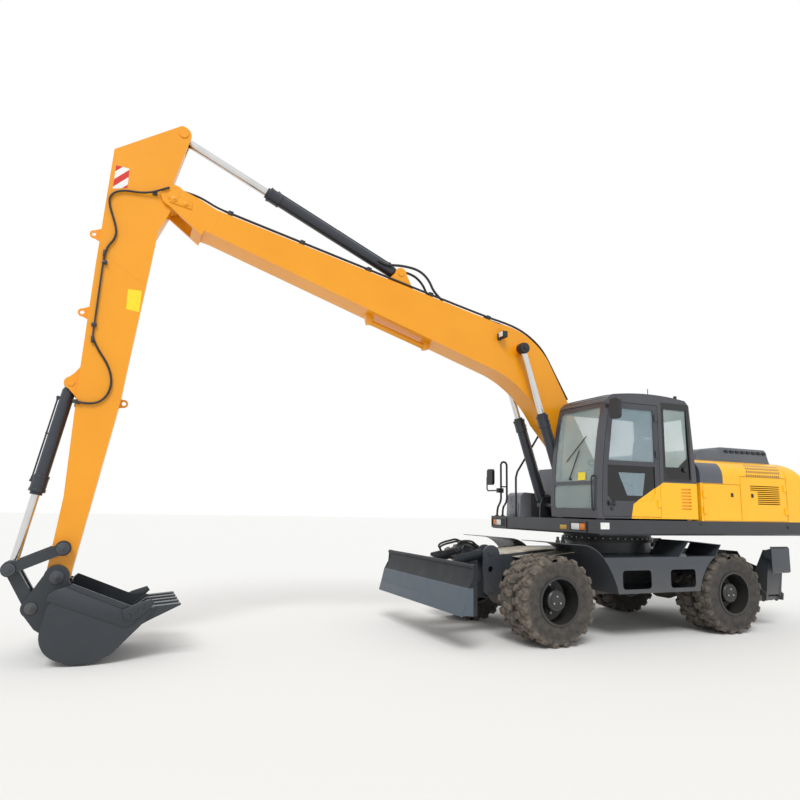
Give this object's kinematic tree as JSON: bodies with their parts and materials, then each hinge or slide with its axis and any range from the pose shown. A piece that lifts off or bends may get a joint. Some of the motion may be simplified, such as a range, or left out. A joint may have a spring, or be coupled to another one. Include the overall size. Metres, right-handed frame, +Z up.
{
  "type": "wheeled excavator",
  "caption": "Wheeled excavator on twin tyres with a blade, stabilizers, a slewing house and cab, and a boom, stick and bucket.",
  "frame": {"origin": "on the ground under the middle of the machine as it stands with its boom out, from the tail to the bucket", "axes": "+X forward to the bucket, +Y to the machine's left, +Z up; the slewing axis stands at X = -2.380 m"},
  "size_m": [10.323, 3.0525, 5.9759],
  "materials": {
    "house_paint": "orange-yellow gloss paint, dusty",
    "grey_paint": "dark slate grey paint",
    "linkage_paint": "dark greenish grey paint, worn",
    "cylinder_paint": "slate grey paint",
    "chrome": "hard chromed rod",
    "cast_iron": "painted casting",
    "tyre": "dusty rubber",
    "rim_paint": "grey paint, dusty",
    "seat": "dark seat cover",
    "engine": "plain casting",
    "glass": "clear cab glass, slightly green",
    "black_parts": "black rails, mirrors and pipes"
  },
  "bodies": {
    "chassis": {"chassis_frame": "grey_paint", "front_axle": "cast_iron", "rear_axle": "cast_iron", "slewing_ring": "cast_iron", "side_step_left": "grey_paint", "side_step_right": "grey_paint", "stabilizer_frame": "grey_paint", "tie_down_lugs": "grey_paint"},
    "knuckle_left": {"knuckle_left": "cast_iron"},
    "knuckle_right": {"knuckle_right": "cast_iron"},
    "steering_rod": {"steering_rod": "chrome"},
    "wheels_front_left": {"tyres_front_left": "tyre", "rims_front_left": "rim_paint"},
    "wheels_front_right": {"tyres_front_right": "tyre", "rims_front_right": "rim_paint"},
    "wheels_rear_left": {"tyres_rear_left": "tyre", "rims_rear_left": "rim_paint"},
    "wheels_rear_right": {"tyres_rear_right": "tyre", "rims_rear_right": "rim_paint"},
    "blade": {"blade": "grey_paint"},
    "blade_barrels": {"blade_barrels": "cylinder_paint"},
    "blade_rods": {"blade_rods": "chrome"},
    "leg_left": {"stabilizer_leg_left": "linkage_paint"},
    "leg_barrel_left": {"stabilizer_barrel_left": "cylinder_paint"},
    "leg_rod_left": {"stabilizer_rod_left": "chrome"},
    "leg_pad_left": {"stabilizer_pad_left": "linkage_paint"},
    "leg_right": {"stabilizer_leg_right": "linkage_paint"},
    "leg_barrel_right": {"stabilizer_barrel_right": "cylinder_paint"},
    "leg_rod_right": {"stabilizer_rod_right": "chrome"},
    "leg_pad_right": {"stabilizer_pad_right": "linkage_paint"},
    "house": {"house_deck": "grey_paint", "counterweight": "house_paint", "body_shell": "house_paint", "engine": "engine", "right_tanks": "house_paint", "cab_shell": "grey_paint", "seat": "seat", "rails_mirrors": "black_parts", "cab_glass": "glass", "cab_controls": "black_parts"},
    "cab_door": {"cab_door": "house_paint", "door_glass": "glass"},
    "service_door_left_front": {"service_door_left_front": "house_paint"},
    "service_door_left_rear": {"service_door_left_rear": "house_paint"},
    "service_door_right": {"service_door_right": "house_paint"},
    "engine_hood": {"engine_hood": "grey_paint"},
    "boom": {"boom": "house_paint", "boom_lines": "house_paint"},
    "boom_barrels": {"boom_barrels": "cylinder_paint"},
    "boom_rods": {"boom_rods": "chrome"},
    "arm_barrel": {"arm_barrel": "cylinder_paint"},
    "arm_rod": {"arm_rod": "chrome"},
    "stick": {"stick": "house_paint", "stick_brackets": "house_paint", "stick_lines": "black_parts"},
    "bucket_barrel": {"bucket_barrel": "cylinder_paint"},
    "bucket_rod": {"bucket_rod": "chrome"},
    "rocker": {"rocker": "linkage_paint"},
    "bucket": {"bucket": "linkage_paint"},
    "bucket_link": {"bucket_link": "linkage_paint"}
  },
  "joints": [
    {"name": "steer_left", "type": "hinge", "parent": "chassis", "child": "knuckle_left", "pos_m": [-0.63, 0.56, 0.515], "axis": [0, 0, 1], "range_deg": [-28, 28]},
    {"name": "wheel_front_left", "type": "hinge", "parent": "knuckle_left", "child": "wheels_front_left", "pos_m": [-0.63, 0.955, 0.515], "axis": [0, 1, 0], "continuous": true},
    {"name": "wheel_rear_left", "type": "hinge", "parent": "chassis", "child": "wheels_rear_left", "pos_m": [-3.43, 0.955, 0.515], "axis": [0, 1, 0], "continuous": true},
    {"name": "steer_right", "type": "hinge", "parent": "chassis", "child": "knuckle_right", "pos_m": [-0.63, -0.56, 0.515], "axis": [0, 0, 1], "range_deg": [-28, 28]},
    {"name": "wheel_front_right", "type": "hinge", "parent": "knuckle_right", "child": "wheels_front_right", "pos_m": [-0.63, -0.955, 0.515], "axis": [0, 1, 0], "continuous": true},
    {"name": "wheel_rear_right", "type": "hinge", "parent": "chassis", "child": "wheels_rear_right", "pos_m": [-3.43, -0.955, 0.515], "axis": [0, 1, 0], "continuous": true},
    {"name": "steering_rod_slide", "type": "slide", "parent": "chassis", "child": "steering_rod", "axis": [0, 1, 0], "range_m": [-0.1, 0.1]},
    {"name": "blade_lift", "type": "hinge", "parent": "chassis", "child": "blade", "pos_m": [-0.215, 0, 0.56], "axis": [0, -1, 0], "range_deg": [-36, 8]},
    {"name": "blade_barrel_swing", "type": "hinge", "parent": "chassis", "child": "blade_barrels", "pos_m": [-0.21, 0, 1.01], "axis": [0, -1, 0], "range_deg": [-28.56, 6.39]},
    {"name": "blade_rod_slide", "type": "slide", "parent": "blade_barrels", "child": "blade_rods", "axis": [0.9794, 0, -0.2021], "range_m": [-0.0609, 0.267]},
    {"name": "leg_left", "type": "hinge", "parent": "chassis", "child": "leg_left", "pos_m": [-4.405, 0.985, 0.41], "axis": [1, 0, 0], "range_deg": [-114, 0]},
    {"name": "leg_barrel_swing_left", "type": "hinge", "parent": "chassis", "child": "leg_barrel_left", "pos_m": [-4.405, 0.25, 0.93], "axis": [1, 0, 0], "range_deg": [-14.05, 0.05]},
    {"name": "leg_rod_slide_left", "type": "slide", "parent": "leg_barrel_left", "child": "leg_rod_left", "axis": [0, 0.9613, -0.2757], "range_m": [-0.002, 0.5187]},
    {"name": "leg_pad_left", "type": "hinge", "parent": "leg_left", "child": "leg_pad_left", "pos_m": [-4.405, 1.075, 1.02], "axis": [1, 0, 0], "range_deg": [-0.05, 24.53]},
    {"name": "leg_right", "type": "hinge", "parent": "chassis", "child": "leg_right", "pos_m": [-4.405, -0.985, 0.41], "axis": [-1, 0, 0], "range_deg": [-114, 0]},
    {"name": "leg_barrel_swing_right", "type": "hinge", "parent": "chassis", "child": "leg_barrel_right", "pos_m": [-4.405, -0.25, 0.93], "axis": [-1, 0, 0], "range_deg": [-14.05, 0.05]},
    {"name": "leg_rod_slide_right", "type": "slide", "parent": "leg_barrel_right", "child": "leg_rod_right", "axis": [0, -0.9613, -0.2757], "range_m": [-0.002, 0.5187]},
    {"name": "leg_pad_right", "type": "hinge", "parent": "leg_right", "child": "leg_pad_right", "pos_m": [-4.405, -1.075, 1.02], "axis": [-1, 0, 0], "range_deg": [-0.05, 24.53]},
    {"name": "slew", "type": "hinge", "parent": "chassis", "child": "house", "pos_m": [-2.38, 0, 1.265], "axis": [0, 0, 1], "continuous": true},
    {"name": "cab_door_swing", "type": "hinge", "parent": "house", "child": "cab_door", "pos_m": [-2.215, 1.244, 2.2], "axis": [0, 0, -1], "range_deg": [-165, 0]},
    {"name": "service_door_left_front_swing", "type": "hinge", "parent": "house", "child": "service_door_left_front", "pos_m": [-2.94, 1.257, 1.7], "axis": [0, 0, -1], "range_deg": [0, 90]},
    {"name": "service_door_left_rear_swing", "type": "hinge", "parent": "house", "child": "service_door_left_rear", "pos_m": [-4.54, 1.257, 1.7], "axis": [0, 0, 1], "range_deg": [0, 90]},
    {"name": "service_door_right_swing", "type": "hinge", "parent": "house", "child": "service_door_right", "pos_m": [-4.54, -1.257, 1.7], "axis": [0, 0, -1], "range_deg": [0, 90]},
    {"name": "engine_hood_lift", "type": "hinge", "parent": "house", "child": "engine_hood", "pos_m": [-3.08, 0, 2.3113], "axis": [0, 1, 0], "range_deg": [0, 60]},
    {"name": "boom_lift", "type": "hinge", "parent": "house", "child": "boom", "pos_m": [-2.08, -0.075, 2.05], "axis": [0, -1, 0], "range_deg": [-45, 50]},
    {"name": "boom_barrel_swing", "type": "hinge", "parent": "house", "child": "boom_barrels", "pos_m": [-1.54, -0.075, 1.62], "axis": [0, -1, 0], "range_deg": [-40.89, 45.42]},
    {"name": "boom_rod_slide", "type": "slide", "parent": "boom_barrels", "child": "boom_rods", "axis": [0.3122, 0, 0.95], "range_m": [-0.4858, 0.5395]},
    {"name": "stick_swing", "type": "hinge", "parent": "boom", "child": "stick", "pos_m": [3.86, -0.075, 5.065], "axis": [0, 1, 0], "range_deg": [-70, 40]},
    {"name": "arm_barrel_swing", "type": "hinge", "parent": "boom", "child": "arm_barrel", "pos_m": [0.95, -0.075, 4.625], "axis": [0, 1, 0], "range_deg": [-1.62, 0.95]},
    {"name": "arm_rod_slide", "type": "slide", "parent": "arm_barrel", "child": "arm_rod", "axis": [0.9146, 0, 0.4044], "range_m": [-0.8967, 0.5133]},
    {"name": "bucket_swing", "type": "hinge", "parent": "stick", "child": "bucket", "pos_m": [4.665, -0.075, 0.8], "axis": [0, 1, 0], "range_deg": [-110, 40]},
    {"name": "rocker_swing", "type": "hinge", "parent": "stick", "child": "rocker", "pos_m": [4.63, -0.075, 1.083], "axis": [0, 1, 0], "range_deg": [-83.52, 30.4]},
    {"name": "bucket_link_swing", "type": "hinge", "parent": "bucket", "child": "bucket_link", "pos_m": [4.865, -0.075, 0.505], "axis": [0, 1, 0], "range_deg": [-26.87, 73.8]},
    {"name": "bucket_barrel_swing", "type": "hinge", "parent": "stick", "child": "bucket_barrel", "pos_m": [4.725, -0.075, 2.795], "axis": [0, 1, 0], "range_deg": [-1.4, 0.54]},
    {"name": "bucket_rod_slide", "type": "slide", "parent": "bucket_barrel", "child": "bucket_rod", "axis": [0.1852, 0, -0.9827], "range_m": [-0.6341, 0.2319]}
  ],
  "couplings": [
    {"joint": "steer_right", "follows": "steer_left", "ratio": 1},
    {"joint": "steering_rod_slide", "follows": "steer_left", "m_per_rad": -0.1825},
    {"joint": "blade_barrel_swing", "follows": "blade_lift", "ratio": 0.7764},
    {"joint": "blade_rod_slide", "follows": "blade_lift", "m_per_rad": -0.4135},
    {"joint": "leg_barrel_swing_left", "follows": "leg_left", "ratio": 0.12038},
    {"joint": "leg_rod_slide_left", "follows": "leg_left", "m_per_rad": -0.25462},
    {"joint": "leg_pad_left", "follows": "leg_left", "ratio": -0.21053},
    {"joint": "leg_barrel_swing_right", "follows": "leg_right", "ratio": 0.12038},
    {"joint": "leg_rod_slide_right", "follows": "leg_right", "m_per_rad": -0.25462},
    {"joint": "leg_pad_right", "follows": "leg_right", "ratio": -0.21053},
    {"joint": "boom_barrel_swing", "follows": "boom_lift", "ratio": 0.8897},
    {"joint": "boom_rod_slide", "follows": "boom_lift", "m_per_rad": 0.6039},
    {"joint": "arm_barrel_swing", "follows": "stick_swing", "ratio": 0.022},
    {"joint": "arm_rod_slide", "follows": "stick_swing", "m_per_rad": 0.718},
    {"joint": "rocker_swing", "follows": "bucket_swing", "ratio": 0.7439},
    {"joint": "bucket_link_swing", "follows": "bucket_swing", "ratio": -0.6573},
    {"joint": "bucket_barrel_swing", "follows": "bucket_swing", "ratio": 0.012},
    {"joint": "bucket_rod_slide", "follows": "bucket_swing", "m_per_rad": 0.3228}
  ]
}
